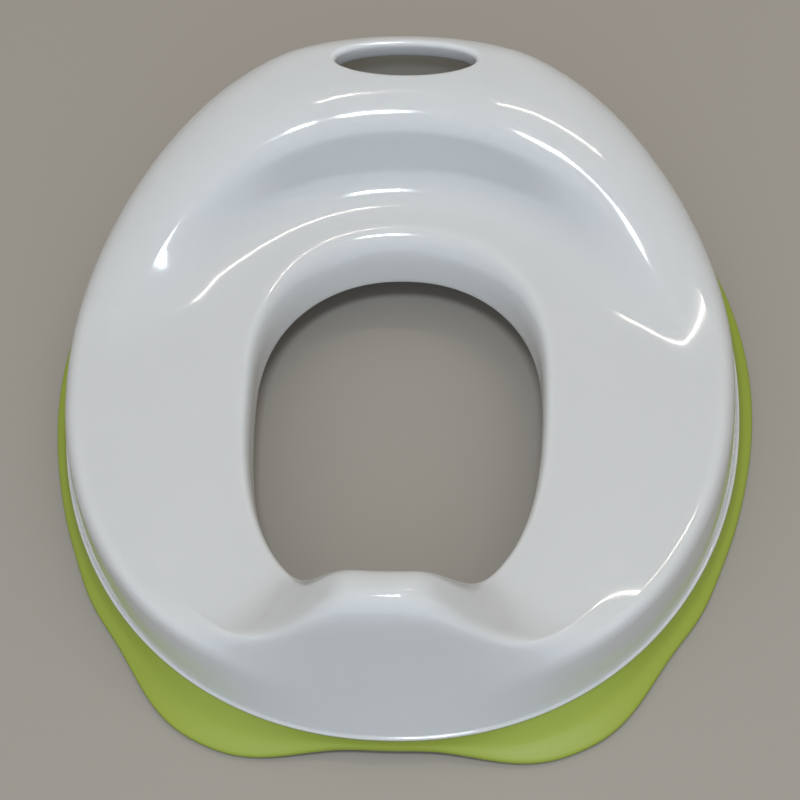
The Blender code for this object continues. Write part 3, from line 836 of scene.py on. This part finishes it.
def base_screw(number, turn):
    """One screw, head down, standing in its counterbore."""
    middle = rim_point(turn, SCREW_INSET)
    seat_level = SCREW_SEAT - CLEARANCE
    low = seat_level - SCREW_HEAD_HEIGHT
    screw = upright(f"zinc_screw_{number}", middle, SCREW_HEAD_RADIUS, low, seat_level)
    bpy.ops.object.mode_set(mode="EDIT")
    pick(screw, "edges", lambda edge: all(vertex.co.z < low + CLEARANCE
                                          for vertex in edge.verts))
    bpy.ops.mesh.bevel(offset=SCREW_HEAD_ROUNDING, segments=SCREW_HEAD_STEPS)
    pick(screw, "faces", lambda part: part.normal.z > FACING)
    bpy.ops.mesh.inset(thickness=SCREW_HEAD_RADIUS - SCREW_CORE_RADIUS)
    shank = SCREW_LENGTH - SCREW_TIP
    bpy.ops.mesh.extrude_region_move(TRANSFORM_OT_translate={"value": (0, 0, shank)})
    bpy.ops.mesh.extrude_region_move(TRANSFORM_OT_translate={"value": (0, 0, SCREW_TIP)})
    bpy.ops.transform.resize(value=(SCREW_TIP_SHARE, SCREW_TIP_SHARE, 1))
    only(screw)
    thread_turns = (shank - SCREW_PITCH) / SCREW_PITCH
    bpy.ops.mesh.primitive_circle_add(vertices=3, radius=SCREW_PITCH / 3,
                                      rotation=(math.pi / 2, 0, 0))
    thread = placed("thread")
    for vertex in thread.data.vertices:
        vertex.co.x = SCREW_CORE_RADIUS - CLEARANCE if vertex.index else SCREW_RADIUS
        vertex.co.z = seat_level + SCREW_PITCH + (0, 1, -1)[vertex.index] * SCREW_PITCH / 4
    spiral = thread.modifiers.new("spiral", "SCREW")
    spiral.angle = 2 * math.pi * thread_turns
    spiral.screw_offset = shank - SCREW_PITCH
    spiral.steps = spiral.render_steps = int(THREAD_STEPS * thread_turns)
    bpy.ops.object.modifier_apply(modifier="spiral")
    bpy.ops.object.mode_set(mode="EDIT")
    pick(thread, "edges", lambda edge: edge.is_boundary)
    bpy.ops.mesh.edge_face_add()
    bpy.ops.mesh.select_all(action="SELECT")
    bpy.ops.mesh.normals_make_consistent(inside=False)
    bpy.ops.transform.translate(value=middle)
    only(thread)
    fuse(screw, [thread], "UNION")
    for arm_turn in (0.0, math.pi / 2):
        only()
        bpy.ops.mesh.primitive_cube_add(size=1, scale=(CROSS_LENGTH, CROSS_WIDTH, 2 * CROSS_DEPTH),
                                        location=(middle.x, middle.y, low),
                                        rotation=(0, 0, arm_turn))
        arm = placed("arm")
        bpy.ops.object.mode_set(mode="EDIT")
        pick(arm, "faces", lambda part: part.normal.z > FACING)
        bpy.ops.transform.resize(value=(CROSS_TAPER, CROSS_TAPER, 1))
        fuse(screw, [arm], "DIFFERENCE")
    smooth(screw)
    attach(screw, "root")
    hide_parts(f"base_screw_{number}")
    zinc.put_on(screw)


ZINC = (0.62, 0.63, 0.66, 1.0)
ZINC_YELLOWED = (0.60, 0.56, 0.44, 1.0)
ZINC_ROUGHNESS = 0.24
BLOOM_ROUGHNESS = 0.18
ZINC_RELIEF = 0.00003
zinc = Finish("zinc_steel", Metallic=1.0)
bloom = zinc.place.noise(scale=700.0, detail=3.0)
zinc.feed("Base Color", bloom.step(low=0.40, high=0.80).between(ZINC, ZINC_YELLOWED))
zinc.feed("Roughness", ZINC_ROUGHNESS + bloom * BLOOM_ROUGHNESS)
zinc.relief(zinc.place.noise(scale=3200.0), ZINC_RELIEF)
for number, turn in enumerate(SCREW_TURNS, 1):
    base_screw(number, turn)

# A plain pale floor that the seat stands on. It is matt, so it takes the seat's
# shadow and shows no clear mirror image of it.
FLOOR_SIDE = 6.0
FLOOR_COLOUR = (0.315, 0.285, 0.250, 1.0)
FLOOR_ROUGHNESS = 0.9
only()
bpy.ops.mesh.primitive_plane_add(size=FLOOR_SIDE)
floor = placed("floor")
ground = Finish("pale_floor", Roughness=FLOOR_ROUGHNESS, Base_Color=FLOOR_COLOUR)
ground.put_on(floor)

# The camera stands where the photograph was taken from: in front, well above and a
# little to the right, with the long lens that fits the object's outlines.
CAMERA_TARGET = Vector((0.0014, -0.01854, 0.050))
CAMERA_DISTANCE = 1.0071
CAMERA_AZIMUTH = math.radians(6.6355)
CAMERA_ELEVATION = math.radians(62.03)
CAMERA_ROLL = math.radians(5.044)
CAMERA_LENS = 94.1
CAMERA_SENSOR = 36.0
camera_turn = (Matrix.Rotation(CAMERA_AZIMUTH, 4, "Z")
               @ Matrix.Rotation(math.pi / 2 - CAMERA_ELEVATION, 4, "X")
               @ Matrix.Rotation(-CAMERA_ROLL, 4, "Z"))
bpy.ops.object.camera_add()
camera = bpy.context.object
camera.data.lens = CAMERA_LENS
camera.data.sensor_width = CAMERA_SENSOR
camera.matrix_world = (Matrix.Translation(CAMERA_TARGET) @ camera_turn
                       @ Matrix.Translation((0, 0, CAMERA_DISTANCE)))
bpy.context.scene.camera = camera

# The light: a long warm tube high up, behind and to the right, and a cool lamp over
# the camera. The room round them is grey at the sides, bright above and in front,
# and dim behind. A lamp's row: name, place, what it faces, sides, watts, colour.
LAMPS = (
    ("tube", (0.515, 0.50, 1.9), (0.515, 0.50, 0.0), (1.17, 0.022), 4.0, (1.0, 0.93, 0.83)),
    ("camera_lamp", (0.04, -0.38, 1.26), (0.0, 0.0, 0.05), (0.20, 0.11), 7.0, (0.80, 0.90, 1.0)),
)
ROOM_SIDES = (0.52, 0.52, 0.52, 1.0)
ROOM_ABOVE = (1.10, 1.04, 0.95, 1.0)
ROOM_FRONT = (1.06, 1.24, 1.45, 1.0)
ROOM_BEHIND = (0.40, 0.37, 0.32, 1.0)
ROOM_STRENGTH = 0.725
for name, place, target, sides, watts, colour in LAMPS:
    bpy.ops.object.light_add(type="AREA", location=place)
    lamp = bpy.context.object
    lamp.name = name
    direction = Vector(target) - Vector(place)
    lamp.rotation_euler = direction.to_track_quat("-Z", "Y").to_euler()
    lamp.data.shape = "RECTANGLE"
    lamp.data.size, lamp.data.size_y = sides
    lamp.data.energy = watts
    lamp.data.color = colour
world = bpy.data.worlds.new("studio")
bpy.context.scene.world = world
world.use_nodes = True
tree = world.node_tree
sky = Tone(tree.nodes.new("ShaderNodeTexCoord").outputs["Generated"])
toward_back = sky.node("SeparateXYZ", {}, {0: sky}, 1)
upward = sky.node("SeparateXYZ", {}, {0: sky}, 2)
room = upward.step(low=-0.2, high=1.0).between(ROOM_SIDES, ROOM_ABOVE)
room = (1.0 - toward_back).step(low=1.1, high=2.0).between(room, ROOM_FRONT)
room = toward_back.step(low=0.0, high=0.9).between(room, ROOM_BEHIND)
tree.links.new(room.socket, tree.nodes["Background"].inputs["Color"])
tree.nodes["Background"].inputs["Strength"].default_value = ROOM_STRENGTH
bpy.context.scene.view_settings.view_transform = "Standard"
